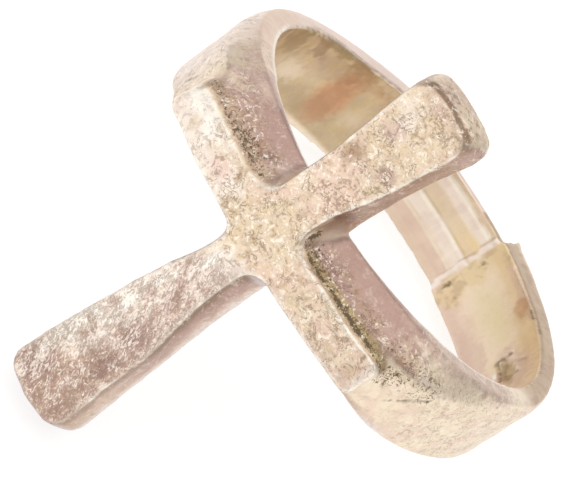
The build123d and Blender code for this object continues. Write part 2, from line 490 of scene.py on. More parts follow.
@dataclass(frozen=True)
class Silver:
    """One finish of the ring's silver: how its grain shows over the stored colours."""

    name: str
    roughness: float
    metallic: float
    light_share: float
    dark_share: float
    grain_height: float
    foil_height: float

    def build(self, effects: SharedEffects) -> Material:
        """Makes the material.

        Args:
            effects: the node groups that the finishes share.

        Returns:
            The material, named after the finish.
        """
        material = bpy.data.materials.new(self.name)
        material.use_nodes = True
        nodes = Nodes(material.node_tree)
        shader = material.node_tree.nodes["Principled BSDF"]
        place = nodes.stored("place", "Vector")
        grain, foil, grime_and_shadow = (
            nodes.add("Group", {"Place": place, amount: nodes.stored(mask)}, node_tree=tree)
            for tree, amount, mask in (
                (effects.grain, "Strength", "grain"),
                (effects.foil, "Strength", "foil"),
                (effects.grime_and_shadow, "Amount", "grime_and_shadow"),
            )
        )
        # Soiling, and the painted shadow beside the bar's end, darken and dull the metal.
        dirt_and_shadow = grime_and_shadow.outputs["Mask"]
        dark = nodes.math("MAXIMUM", grain.outputs["Dark"], foil.outputs["Dark"])
        light = nodes.math("MAXIMUM", grain.outputs["Light"], foil.outputs["Light"])
        # Painted glints from the light flecks and strokes, with the worn edges, in the pale colour; the
        # dark strokes add painted shade.
        bright = nodes.math("MAXIMUM", nodes.times(light, self.light_share), nodes.stored("worn"))
        colour = nodes.stored("tint", "Color")
        for share, tint in (
            (bright, Tint.WORN),
            (nodes.times(dark, self.dark_share), Tint.UMBER),
            (dirt_and_shadow, Tint.GRIME),
        ):
            colour = nodes.mix(share, colour, (*tint.value, 1))
        height = nodes.blend(
            grain.outputs["Height"], self.grain_height, foil.outputs["Height"], self.foil_height
        )
        relief = nodes.add("Bump", {"Height": height, "Strength": 1, "Distance": MM})
        nodes.fill(shader, {
            "Base Color": colour,
            "Metallic": nodes.times(nodes.rest(nodes.times(dirt_and_shadow, 0.6)), self.metallic),
            "Roughness": nodes.math("MULTIPLY_ADD", dirt_and_shadow, 0.3, self.roughness),
            "Normal": relief.outputs["Normal"],
        })
        return material


@dataclass
class CastRing:
    """The ring's skin: the frame's solid as an even grid, with its casting marks, wear, stained patches,
    and painted highlights and shade.

    The heights of the relief are in millimetres, and a reach is in rounds of averaging.
    """

    axes: RingAxes
    stains_and_highlights: tuple
    scratches: tuple
    grid: float = 0.112
    fillet_rounds: int = 4
    fillet_reach: int = 45
    edge_rounds: int = 3
    edge_reach: int = 25
    hammered: float = 0.025
    dented: float = 0.02
    granular: float = 0.02
    crumpled: float = 0.04
    solder: float = 0.07
    end_set_back: float = 0.17

    def build(self, node: str) -> Object:
        """Makes the dressed ring in place of the frame's node.

        Args:
            node: the frame's node to stand for.

        Returns:
            The new object, at the frame's origin.
        """
        mesh = self._dense_copy(frame["nodes"][node].data)
        skin = Skin(mesh)
        log.info("skin has %d points", skin.count)
        self._fill_creases(skin)
        self._set_back_edges(skin)
        self._find_regions(skin)
        self._carve(skin)
        self._tint(skin)
        self._mask(skin)
        self._assign_zones(skin)
        flat = self.axes.to_frame(skin.points).astype(np.float32)
        mesh.vertices.foreach_set("co", flat.ravel())
        mesh.update()
        return add_object("worn_cross_ring", mesh)

    def _dense_copy(self, solid: Mesh) -> Mesh:
        """An even, dense mesh of the solid, in the ring's axes."""
        shape = bmesh.new()
        shape.from_mesh(solid)
        bmesh.ops.remove_doubles(shape, verts=shape.verts, dist=1e-6)
        turn = Matrix(self.axes.turn.T.tolist()).to_4x4()
        move = Matrix.Translation(-Vector(self.axes.origin))
        bmesh.ops.transform(shape, matrix=Matrix.Scale(1 / MM, 4) @ turn @ move, verts=shape.verts)
        raw = bpy.data.meshes.new("ring_solid_copy")
        shape.to_mesh(raw)
        shape.free()
        carrier = add_object("ring_solid_copy", raw)
        remesh = carrier.modifiers.new("even", "REMESH")
        remesh.mode = "VOXEL"
        remesh.voxel_size = self.grid
        remesh.use_smooth_shade = True
        depsgraph = bpy.context.evaluated_depsgraph_get()
        mesh = bpy.data.meshes.new_from_object(carrier.evaluated_get(depsgraph))
        bpy.data.objects.remove(carrier)
        bpy.data.meshes.remove(raw)
        mesh.name = "worn_cross_ring"
        return mesh

    def _fill_creases(self, skin: Skin) -> None:
        """Turns the creases beside the bar and arms into soft fillets, and rounds the worn edges."""
        for _ in range(self.fillet_rounds):
            skin.shift(0.8 * np.clip(skin.hollow(self.fillet_reach), 0, 0.3))
        skin.shift(0.3 * np.clip(skin.hollow(10), -0.1, 0))
        for _ in range(self.edge_rounds):
            x, y, z = skin.points.T
            near_edge = rise(-0.9, -1.8, x) * between(-1, 0.5, 0.3, y) * rise(7.5, 8.5, z)
            corner = rise(-7.1, -7.5, x) * rise(7, 7.6, z)
            hollow = skin.hollow(self.edge_reach)
            worn = near_edge * 0.9 * np.clip(hollow, -0.3, 0)
            skin.shift(worn + corner * 0.9 * np.clip(hollow, 0, 0.3))

    def _set_back_edges(self, skin: Skin) -> None:
        """Moves the band's lower corner, the bar's near edge and the short arm's end edge back."""
        step = np.exp(-(((skin.angle + 43.5) / 3.2) ** 2)) * rise(-0.9, -1.9, skin.points[:, 1])
        step *= rise(10.8, 11.4, skin.radius)
        skin.move(0.15 * step[:, None] * np.array((-0.6, -0.75, 0.25)))
        x, y, z = skin.points.T
        set_back = between(-0.45, 0.2, 0.45, y) * rise(1.5, 2.6, np.abs(x)) * rise(7.2, 8.2, z)
        set_back *= 0.06 + 0.08 * np.maximum(rise(-1.5, -3, x), rise(3.8, 5, x))
        set_back += self.end_set_back * between(8.5, 9, 0.5, y) * rise(10.9, 11.5, z)
        skin.move(set_back[:, None] * np.array((0, -1, 0)))

    def _find_regions(self, skin: Skin) -> None:
        """Finds which part of the ring each point belongs to."""
        x, y, z = skin.points.T
        nx, ny, nz = skin.normals.T
        from_bend = z - (FACE_HEIGHT - FACE_BEND)
        bend_reach = np.hypot(x, from_bend)
        self.under_face = FACE_BEND - bend_reach
        out_of_face = (nx * x + nz * from_bend) / bend_reach
        self.face = fade(0.12, 0.3, self.under_face) * rise(0.55, 0.85, out_of_face)
        self.long_arm = self.face * rise(2.6, 4, -y + 0.5 * np.clip(x, -2.5, 2.5))
        on_cross = rise(8, 8.4, z) * fade(7.8, 8.2, np.abs(x))
        self.rim_line = between(0.04, 0.1, 0.03, self.under_face) * on_cross
        self.rim_line *= fade(0.9, 0.97, out_of_face)
        self.rim_line *= 1 - rise(-1.2, -2, x) * rise(-0.6, -0.2, y)
        self.bar_end = rise(7.05, 7.35, x + 0.1 * y) * on_cross * fade(0.35, 0.6, self.under_face)
        self.far_side = on_cross * rise(0.1, 0.22, self.under_face)
        self.far_side *= rise(0.3, 0.6, np.maximum(-nx, -ny))
        self.far_side *= rise(1.4, 2.2, -y) * fade(6, 6.8, np.abs(x))
        self.outward = (nx * x + nz * z) / np.maximum(skin.radius, 0.1)
        self.outside = rise(0.6, 0.9, self.outward) * (1 - self.face)
        band_along = fade(2.15, 2.4, np.abs(y))
        self.slope = rise(0.3, 0.55, ny) * rise(9.55, 9.8, skin.radius) * rise(-1, 1, z)
        self.slope *= band_along * (1 - self.face) * rise(0.15, 0.4, self.under_face)
        self.bar_wall = self.slope * fade(0.6, 0.9, self.under_face) * fade(0.3, 0.6, y)
        self.rim = rise(0.5, 0.8, ny) * fade(10.6, 11.2, skin.radius) * band_along
        self.inner = rise(0.5, 0.9, -self.outward) * band_along * fade(9.6, 9.9, skin.radius)
        arms = rise(2, 2.2, np.abs(y)) * rise(6, 8, z)
        arms = np.maximum(arms, rise(2.05, 2.3, np.abs(y)) * rise(8, 9, z))
        self.arm_walls = arms * (1 - self.face)
        self.insert = (self.inner > 0.5) & (skin.turn > INSERT_ARC[0]) & (skin.turn < INSERT_ARC[1])
        self.grit = skin.clouds(0.25, 2, 17)
        self.fine = skin.clouds(0.45, 2, 7)
        self.mid = skin.clouds(1, 3, 11)
        self.large = skin.clouds(2.6, 2, 5)
        self.edge_band = self.face * rise(0.97, 0.75, skin.spread(self.face, 8)) * on_cross

    def _carve(self, skin: Skin) -> None:
        """Adds the hammered and crumpled relief, the insert's facets, pits and scratches."""
        quiet = np.maximum(self.inner, self.rim * 0.7)
        height = self.hammered * self.mid + self.dented * skin.clouds(1.7, 1, 3)
        height = (1 - 0.85 * quiet) * height
        self._pull_burr(skin)
        height += self.face * self.granular * self.fine
        height += self.long_arm * self.crumpled * skin.clouds(0.8, 2, 21, (0.7, 1.6, 1))
        height += self.rim_line * (0.01 + 0.04 * skin.clouds(1.3, 1, 41))
        height += self._insert_height(skin)
        for colour_patch in self.stains_and_highlights:
            if colour_patch.depth:
                height -= colour_patch.depth * self._cover(skin, colour_patch) / colour_patch.share
        for scratch in self.scratches:
            height -= scratch.depth * scratch.mask(skin, self.grit)
        skin.shift(height)

    def _pull_burr(self, skin: Skin) -> None:
        """Draws the thick end's outer corner out to a small burr over the insert."""
        x, y, z = skin.points.T
        share = 0.2 * rise(9.7, 10.5, skin.radius) + 0.25 * rise(10.8, 11.6, skin.radius)
        share *= between(166, 172, 2.5, skin.turn) * rise(0.8, 1.9, y)
        tip = rise(11, 11.8, skin.radius) * between(168, 172, 1, skin.turn)
        tip *= 0.25 * rise(1.4, 2.1, y)
        ahead = np.stack((z, np.zeros(skin.count), -x), axis=1) / np.maximum(skin.radius, 0.1)[:, None]
        skin.move(ahead * (share + 0.5 * tip)[:, None] + tip[:, None] * np.array((0, 1, 0)))

    def _cover(self, skin: Skin, colour_patch: ColourPatch) -> np.ndarray:
        """How much of each point a colour patch covers, kept to its own sheet."""
        inside = rise(0.05, 0.4, -self.outward)
        sheet = self.face if colour_patch.sheet is Sheet.CROSS else inside * (1 - self.face)
        return colour_patch.mask(skin, 0.7 * self.mid + 0.5 * self.grit) * sheet

    def _insert_height(self, skin: Skin) -> np.ndarray:
        """Lengthwise facets on the insert and a bead of solder at its near end."""
        facets = np.interp(skin.points[:, 1], FACET_PLACES, FACET_HEIGHTS)
        return np.where(self.insert, facets, 0) + self._bead(skin) * self.inner * self.solder

    def _bead(self, skin: Skin) -> np.ndarray:
        """Where the solder bead lies, along the insert's near end."""
        return between(170.4, 171.2, 0.9, skin.turn + 1.2 * self.mid)

    def _tint(self, skin: Skin) -> None:
        """Colours the skin from its base metal, through painted shade and reflections on the slopes and
        walls, up to its last stained patches and painted highlights.
        """
        self.mottled = rise(-0.1, 0.45, self.mid)
        self.clouded = rise(-0.15, 0.35, self.large)
        self.gritty = rise(-0.1, 0.35, self.grit)
        left_end = rise(-40, -50, skin.angle) * rise(0.6, 0.8, self.outward)
        skin.coat(
            np.ones(skin.count), (1, Tint.CREAM), (0.45 * self.mottled, Tint.ROSE),
            (0.3 * self.gritty, Tint.SAND), (0.7 * left_end, Tint.PALE), (0.3 * left_end, Tint.MAUVE),
        )
        skin.coat(self.rim, (1 - self.slope, Tint.PALE), (0.5, Tint.ROSE))
        spotted = skin.clouds(0.36, 3, 61, (1, 1, 2.7))
        skin.coat(
            self.rim * rise(80, 110, skin.angle), (1, Tint.SAND), (0.7, Tint.OLIVE), (0.2, Tint.GOLD),
            (0.25 + 0.5 * rise(-0.2, 0.5, spotted), Tint.FAWN),
            (0.5 * rise(0.3, 0.5, spotted + 0.3 * self.large), Tint.BROWN),
            (0.3 * rise(0, 0.5, -spotted), Tint.SAND), (0.15 + 0.3 * self.mottled, Tint.BROWN),
        )
        inner_edge = between(HOLE_RADIUS, 9.8, 0.15, skin.radius) * between(-150, -102, 6, skin.angle)
        skin.lay(self.rim * inner_edge * (0.3 + 0.4 * rise(-0.2, 0.2, spotted)), Tint.BROWN)
        self._tint_slopes(skin)
        self._tint_bar_wall(skin)
        self._tint_walls(skin)
        self._tint_face(skin)
        self._tint_inside(skin)
        self._tint_insert(skin)
        # Stained patches and, on the cross, painted highlights, laid last.
        for colour_patch in self.stains_and_highlights:
            skin.lay(self._cover(skin, colour_patch), colour_patch.tint)
        for scratch in self.scratches:
            skin.lay(scratch.share * scratch.mask(skin, self.grit), Tint.SOOT)

    def _tint_slopes(self, skin: Skin) -> None:
        """Mauve beside the finger hole, partly the metal's tint and partly a painted reflection of the
        darker surroundings, with painted shade in dusk and plum, fading where the slopes turn round the
        band.
        """
        y, angle = skin.points[:, 1], skin.angle
        waved = angle + 8 * self.mid
        self.mauve = self.slope * rise(-48, -29, waved) * fade(50, 70, waved)
        # Painted shade in dusk and plum over the mauve on the slopes' darker stretches.
        skin.coat(
            self.mauve, (1, Tint.MAUVE),
            (np.maximum(between(-27, -15, 8, angle), rise(2, 6, angle)), Tint.DUSK),
            (0.25 * between(-27, -14, 5, angle), Tint.PLUM),
            (0.35 * between(-12, -4, 3, angle) * fade(0.8, 1.4, y), Tint.PALE),
        )
        reach = 0.75 + 0.5 * rise(-22, -34, angle) + 0.3 * rise(30, 42, angle)
        self.beside_bar = self.mauve * fade(0, 0.5, y + 0.3 * self.mid - reach)
        started = rise(-42, -30, angle)
        skin.coat(
            self.beside_bar, (0.25 * self.gritty, Tint.CREAM),
            (0.6 * self.mottled * started, Tint.DUSK),
            (0.5 * rise(0, 0.3, -self.fine) * started, Tint.BROWN),
        )
        # Painted shade in plum at the slope's foot beside the bar.
        foot = between(5, 26, 5, angle) * fade(0.3, 0.95, y + 0.2 * self.mid)
        skin.lay(0.65 * self.mauve * foot, Tint.PLUM)
        early = self.slope * between(-56, -44, 6, angle)
        skin.coat(early, (0.5 * self.mottled, Tint.ROSE), (0.5 * rise(0, 0.3, self.fine), Tint.CREAM))
        by_hole = rise(1.5, 2, y + 0.3 * self.mid) * fade(74, 84, angle)
        outer = 1 - by_hole
        turned = self.slope * rise(36, 52, waved)
        skin.coat(
            turned, (0.9, Tint.CREAM), (0.35 * self.mottled, Tint.ROSE),
            (0.75 * outer * rise(40, 48, angle), Tint.WORN), (0.35 * outer, Tint.HONEY),
            (0.15 * outer * self.mottled, Tint.ROSE), (0.35 * rise(0, 0.35, self.grit), Tint.SAND),
        )
        lower_rim = self.rim * between(46, 76, 10, angle)
        skin.lay(0.5 * np.maximum(turned * by_hole, lower_rim), Tint.MAUVE)
        skin.lay(0.3 * lower_rim * rise(-0.2, 0.3, self.fine), Tint.DUSK)

    def _tint_bar_wall(self, skin: Skin) -> None:
        """Olive and honey on the bar's near wall, the olive, fawn and brown partly its tint and partly
        painted soft shade, and a white line round the finger hole.
        """
        x, z = skin.points[:, 0], skin.points[:, 2]
        left = rise(-1, -2, x)
        # Olive and fawn down the wall: partly the metal's tint, partly painted soft shade.
        skin.coat(self.bar_wall, (1, Tint.OLIVE), (0.7 * left, Tint.FAWN))
        skin.coat(
            self.bar_wall * fade(0.2, 0.38, self.under_face + 0.1 * self.fine), (0.8, Tint.HONEY),
            (0.6 * rise(1, 2, x), Tint.FAWN), (0.6 * left * rise(-0.2, 0.2, self.fine), Tint.BROWN),
        )
        hole_line = between(9.53, 9.68, 0.05, skin.radius) * rise(0.15, 0.4, skin.normals[:, 1])
        skin.lay(0.8 * hole_line * rise(0, 2, z), Tint.WHITE)

    def _tint_walls(self, skin: Skin) -> None:
        """Brown just under the face's edge, sand below it and lavender at the foot: painted shadow under
        the edge, a painted reflection of the pale floor at the foot, and painted shade on the far walls,
        the short arm's walls and its root.
        """
        x, along, _ = skin.points.T
        depth = self.under_face + 0.25 * self.mid
        long_side = rise(2, 2.6, -along)
        # Long arm's walls: the brown, dusk and umber under the face's edge are painted shadow, and the
        # lavender at the foot is a painted reflection of the pale floor.
        skin.coat(
            self.arm_walls, (1, Tint.SAND), (0.4 * self.mottled, Tint.ROSE),
            (fade(0.3, 0.75, depth), Tint.BROWN),
            (0.7 * long_side * (1 - 0.6 * rise(0.9, 1.9, depth)), Tint.FAWN),
            (long_side * rise(-11.5, -8.5, along) * fade(0.8, 1.6, depth), Tint.DUSK),
            (long_side * fade(0.25, 0.8, depth) * (0.45 + 0.35 * rise(-9.5, -7.5, along)), Tint.UMBER),
            (0.35 * rise(12, 13.5, -along), Tint.BROWN),
            (0.65 * long_side * rise(1.1, 1.9, depth), Tint.LAVENDER),
        )
        # Grey painted shade on the walls that face away.
        skin.lay(0.8 * self.far_side, Tint.ASH)
        # Short arm's near walls: dusk as a painted reflection of the darker slope, brown as painted shadow
        # under the edge, lavender as a painted reflection of the floor at the foot.
        towards_end = rise(0.4, 0.8, skin.normals[:, 1])
        skin.coat(
            self.arm_walls * rise(2, 2.6, along) * (1 - self.far_side) * (1 - towards_end),
            (0.95, Tint.DUSK), (0.3 * self.mottled, Tint.SAND),
            (0.4 * fade(0.4, 0.9, depth) * rise(4, 6, along), Tint.BROWN),
            (0.25 * rise(1.4, 1.9, self.under_face), Tint.LAVENDER),
        )
        # Painted shade in the corner at the short arm's root.
        root_wall = rise(0.25, 0.5, skin.normals[:, 0]) * between(0.9, 2.4, 0.2, x)
        root_wall *= between(0.3, 2.6, 0.3, along) * rise(0.2, 0.4, self.under_face)
        skin.coat(root_wall, (0.5, Tint.DUSK), (0.4 * fade(0.5, 0.9, self.under_face), Tint.BROWN))
        # The short arm's end, with a painted shadow line in umber just under its edge.
        self.short_end = self.arm_walls * towards_end * rise(8, 8.6, along)
        skin.coat(
            self.short_end, (1, Tint.CREAM), (0.5 * self.mottled, Tint.ROSE),
            (0.3 * self.gritty, Tint.SAND), (0.4 * rise(0.1, 0.4, self.fine), Tint.ROSE),
            (0.9 * between(0.14, 0.42, 0.1, self.under_face + 0.08 * self.fine), Tint.UMBER),
        )

    def _tint_face(self, skin: Skin) -> None:
        """Sand with rose, gold and cream patches, a darker, rosier long arm with white strokes of painted
        highlight on its left half, and a painted highlight on the bar's right end.
        """
        x, y, _ = skin.points.T
        skin.coat(
            self.face, (1, Tint.SAND), (0.7 * self.clouded, Tint.ROSE),
            (0.45 * rise(0, 0.35, self.fine), Tint.CREAM),
            (0.35 * rise(0.05, 0.4, -self.fine), Tint.GOLD),
            (0.35 * self.gritty * rise(-0.1, 0.3, self.mid), Tint.BROWN),
            (0.8 * rise(-2.5, -4.5, x) * (1 - 0.5 * self.mottled), Tint.PALE),
        )
        outer = rise(8, 11, -y)
        upper = rise(-0.8, 0.8, -x) * fade(9.5, 11, -y)
        strokes = rise(0, 0.3, skin.clouds(0.45, 2, 33, (0.6, 1.8, 1)))
        skin.coat(
            self.long_arm, (0.85, Tint.ROSE), (0.35 + 0.3 * outer, Tint.FAWN),
            (0.15 + 0.35 * outer, Tint.MAUVE), (0.25 * outer, Tint.BROWN),
            (0.3 * rise(11.5, 13, -y), Tint.DUSK),
            ((0.35 + 0.35 * outer) * rise(-0.05, 0.25, self.mid + 0.3 * self.fine), Tint.DUSK),
            ((0.4 - 0.2 * outer) * rise(0.1, 0.4, -self.fine), Tint.CREAM),
            # The white strokes on the long arm's left half are painted highlights.
            (0.15 * (1 - outer), Tint.LAVENDER), (0.8 * upper * strokes, Tint.WHITE),
        )
        skin.lay(0.5 * self.face * rise(8.3, 9, y + 0.3 * self.fine), Tint.FAWN)
        # A painted highlight on the bar's rounded right end.
        skin.lay(0.45 * self.bar_end, Tint.WHITE)

    def _tint_inside(self, skin: Skin) -> None:
        """Sand and gold inside the band, with moss and honey at its right."""
        along = skin.points[:, 1]
        right = rise(60, 90, skin.turn) * fade(207, 212, skin.turn)
        left = 1 - right
        self.streaks = skin.clouds(0.7, 3, 71, (0.8, 2.2, 0.8))
        streaked = self.streaks + 0.4 * self.large
        skin.coat(
            self.inner, (1, Tint.SAND), (left * (0.45 + 0.4 * self.mottled), Tint.GOLD),
            (left * (0.15 + 0.5 * self.clouded), Tint.OLIVE), (0.25 * left * self.gritty, Tint.FAWN),
            (0.25 * (1 - self.insert) * rise(0.1, 0.5, streaked), Tint.CREAM),
            (0.35 * left * rise(0.1, 0.5, -streaked), Tint.FAWN),
            (0.4 * left * rise(0.2, 1.4, -along), Tint.OLIVE),
        )
        border = rise(0.9, 1.8, along + 0.5 * self.mid)
        skin.coat(
            self.inner * right, (0.85, Tint.CREAM), (0.5 * self.mottled, Tint.MOSS),
            (0.6 * border, Tint.HONEY), (0.35 * border * self.mottled, Tint.FAWN),
            (0.55 * rise(0.3, 1.6, -along + 0.5 * self.mid), Tint.ROSE),
            (0.4 * rise(0.9, 1.8, -along + 0.5 * self.mid), Tint.FAWN),
        )

    def _tint_insert(self, skin: Skin) -> None:
        """Gold on the worn step before the insert, and stripes of painted reflection, honey and solder on
        the insert.
        """
        along = skin.points[:, 1]
        worn_step = between(163.5, 169, 2, skin.angle + 4 * self.mid) * self.inner
        skin.coat(worn_step, (0.6, Tint.GOLD), (0.35 * rise(0.1, 0.4, self.fine), Tint.BROWN))
        # Painted reflections of the insert's facets, in stripes along the finger.
        for start, end, tint, share in FACET_TINTS:
            skin.lay(share * self.insert * between(start, end, 0.12, along + 0.06 * self.mid), tint)
        drip = between(0.7, 1, 0.12, along + 0.1 * self.mid) * fade(174.5, 179, skin.turn)
        skin.coat(
            self.insert,
            (0.45 * between(0.2, 0.95, 0.15, along) * fade(176, 184, skin.turn), Tint.HONEY),
            (0.2 * rise(-0.1, 0.3, self.streaks), Tint.FAWN), (0.7 * drip, Tint.HONEY),
        )
        skin.lay(0.85 * self.inner * self._bead(skin), Tint.PALE)

    def _mask(self, skin: Skin) -> None:
        """Stores where the skin is granular, crumpled, dirty or painted in shadow, and worn bright."""
        y = skin.points[:, 1]
        skin.store("grain", skin.spread(self._grain(skin), 3))
        skin.store("foil", skin.spread(self.long_arm, 3))
        skin.store("grime_and_shadow", skin.spread(self._grime_and_shadow(skin), 2))
        worn_edge = self.edge_band * (0.75 + 0.9 * self.fine) * (1 - 0.5 * rise(7, 10, -y))
        kept = (1 - 0.85 * rise(7.9, 8.5, y)) * (1 - 0.6 * rise(12, 13, -y))
        skin.store("worn", kept * np.maximum(self.rim_line * (0.55 + 0.7 * self.fine), worn_edge))
        skin.store_tints()

    def _grain(self, skin: Skin) -> np.ndarray:
        """How granular each point is."""
        x, y, _ = skin.points.T
        angle = skin.angle
        return np.maximum.reduce((
            self.face * (1 - 0.4 * self.long_arm) * (1 - 0.45 * rise(-4, -6, x)),
            self.beside_bar,
            self.short_end,
            self.bar_wall,
            self.mauve * (0.35 - 0.12 * rise(-4, 8, angle)),
            self.outside * 0.8 * between(-80, -42, 10, angle),
            self.outside * (0.3 + 0.4 * rise(50, 60, angle)),
            self.slope * 0.5 * between(-54, -42, 6, angle),
            self.slope * 0.6 * rise(32, 44, angle),
            self.arm_walls * (0.4 + 0.35 * rise(2, 3, y)),
            self.rim_line * 0.8,
            np.full(skin.count, 0.12),
        ))

    def _grime_and_shadow(self, skin: Skin) -> np.ndarray:
        """How dirty or shadowed each point is: soiling beside the bar, at the short arm's root and by the
        inner borders, and a painted shadow line beside the bar's end.
        """
        y, angle = skin.points[:, 1], skin.angle
        waved = y + 0.3 * self.mid
        left = between(-40, -12, 4, angle) * fade(0.1, 1.35, waved)
        width = 0.12 + 0.75 * rise(20, 42, angle) + 0.4 * fade(9, 16, angle)
        right = between(5, 52, 4, angle) * fade(0, 0.4, waved - 0.12 - width)
        turned = np.maximum(self.slope, rise(39.5, 41, angle) * rise(-0.8, -0.1, y) * self.outside)
        # A painted shadow line beside the bar's end.
        shadow_by_end = between(38.5, 42, 1.5, angle) * between(-0.7, 0.3, 0.3, y)
        line = between(0.24, 0.5, 0.09, self.under_face) * fade(0.2, 0.5, y) * (0.9 + 0.35 * self.fine)
        line *= self.slope * between(3, 38, 2, angle)
        root = np.maximum(
            fade(0.15, 0.6, skin.near_line((1.9, 0.3, 10.9), (2.2, 0.3, 10.5))),
            fade(0.1, 0.4, skin.near_line((1.4, 0.2, 11.5), (1.3, 1.1, 11.2))),
        )
        return np.maximum.reduce((
            turned * left * (0.56 + 0.1 * rise(-34, -26, angle)),
            turned * right * 0.52,
            (1 - self.face) * 0.6 * shadow_by_end,
            (1 - self.face) * 0.75 * root,
            line * 0.85,
            self.inner * 0.42 * between(-145, -98, 5, angle) * rise(1.2, 1.8, waved),
            self.inner * 0.36 * rise(110, 125, angle) * rise(1.1, 1.8, waved),
        ))

    def _assign_zones(self, skin: Skin) -> None:
        """Gives each face of the mesh its finish and smooth shading."""
        inner = self.inner > 0.5
        zone = np.where(self.insert, Zone.INSERT.value, np.where(inner, Zone.INNER.value, Zone.CAST.value))
        mesh = skin.mesh
        corners = np.empty(len(mesh.loops), np.int32)
        mesh.loops.foreach_get("vertex_index", corners)
        starts = np.empty(len(mesh.polygons), np.int32)
        mesh.polygons.foreach_get("loop_start", starts)
        mesh.polygons.foreach_set("material_index", zone[corners[starts]].astype(np.int32))
        mesh.polygons.foreach_set("use_smooth", np.ones(len(mesh.polygons), bool))


@dataclass(frozen=True)
class Panel:
    """A soft light panel: its way from the ring, its sides in metres and its brightness."""

    name: str
    away: tuple
    width: float
    height: float
    glow: float

    def build(self, target: Vector) -> None:
        """Hangs the panel so that it faces a target."""
        light = bpy.data.lights.new(self.name, "AREA")
        light.shape = "RECTANGLE"
        light.size = self.width
        light.size_y = self.height
        light.energy = self.glow * pi * self.width * self.height
        lamp = add_object(self.name, light)
        away = Vector(self.away)
        lamp.location = target + away
        lamp.rotation_mode = "QUATERNION"
        lamp.rotation_quaternion = away.to_track_quat("Z", "Y")


@dataclass(frozen=True)
class Stage:
    """A pale floor and soft light from all round."""

    floor_size: float = 3.0
    floor_glow: float = 0.7
    room_glow: float = 0.5
    panels: tuple = (
        Panel("front_panel", (-0.1, -0.4, 0.13), 0.9, 0.26, 0.77),
        Panel("overhead_panel", (-0.08, 0.06, 0.38), 1.1, 0.8, 0.7),
        Panel("right_panel", (0.38, -0.14, 0.09), 0.3, 0.16, 0.85),
    )

    def build(self, axes: RingAxes) -> None:
        """Makes the floor, the room's light and the panels.

        Args:
            axes: the ring's place, which the panels face.
        """
        shape = bmesh.new()
        bmesh.ops.create_grid(shape, x_segments=1, y_segments=1, size=self.floor_size / 2)
        mesh = bpy.data.meshes.new("pale_floor")
        shape.to_mesh(mesh)
        shape.free()
        floor = add_object("pale_floor", mesh)
        mesh.materials.append(self._floor_finish())
        world = bpy.data.worlds.new("soft_room")
        world.use_nodes = True
        backdrop = {"Color": (1, 0.95, 0.9, 1), "Strength": self.room_glow}
        Nodes(world.node_tree).fill(world.node_tree.nodes["Background"], backdrop)
        bpy.context.scene.world = world
        for panel in self.panels:
            panel.build(Vector(axes.origin))

    def _floor_finish(self) -> Material:
        """A plain white finish that gives off a little light."""
        material = bpy.data.materials.new("pale_floor")
        material.use_nodes = True
        Nodes(material.node_tree).fill(material.node_tree.nodes["Principled BSDF"], {
            "Base Color": (0.4, 0.4, 0.4, 1),
            "Roughness": 0.9,
            "Emission Color": (1, 1, 1, 1),
            "Emission Strength": self.floor_glow,
        })
        return material


@dataclass(frozen=True)
class PhotoCamera:
    """The photograph's long lens, turned as the ring lies."""

    azimuth: float = 15.52
    elevation: float = 47.47
    roll: float = 49.66
    distance: float = 0.4
    lens: float = 573.04
    sensor: float = 36.0

    def build(self, axes: RingAxes) -> None:
        """Makes the scene's camera.

        Args:
            axes: the ring's place, whose hole's middle lands on its pixel.
        """
        azimuth, elevation, roll = radians(self.azimuth), radians(self.elevation), radians(self.roll)
        level = cos(elevation)
        back = Vector((sin(azimuth) * level, -cos(azimuth) * level, sin(elevation)))
        level_right = Vector((0, 0, 1)).cross(back).normalized()
        level_up = back.cross(level_right)
        up = level_up * cos(roll) - level_right * sin(roll)
        right = up.cross(back)
        per_pixel = self.sensor / self.lens * self.distance / PHOTO_WIDTH
        aside = (HOLE_PIXEL[0] - PHOTO_WIDTH / 2) * per_pixel
        above = (PHOTO_HEIGHT / 2 - HOLE_PIXEL[1]) * per_pixel
        data = bpy.data.cameras.new("photo_camera")
        data.sensor_width = self.sensor
        data.lens = self.lens
        camera = add_object("photo_camera", data)
        place = Vector(axes.origin) + back * self.distance - right * aside - up * above
        facing = Matrix((right, up, back)).transposed().to_4x4()
        camera.matrix_world = Matrix.Translation(place) @ facing
        bpy.context.scene.camera = camera


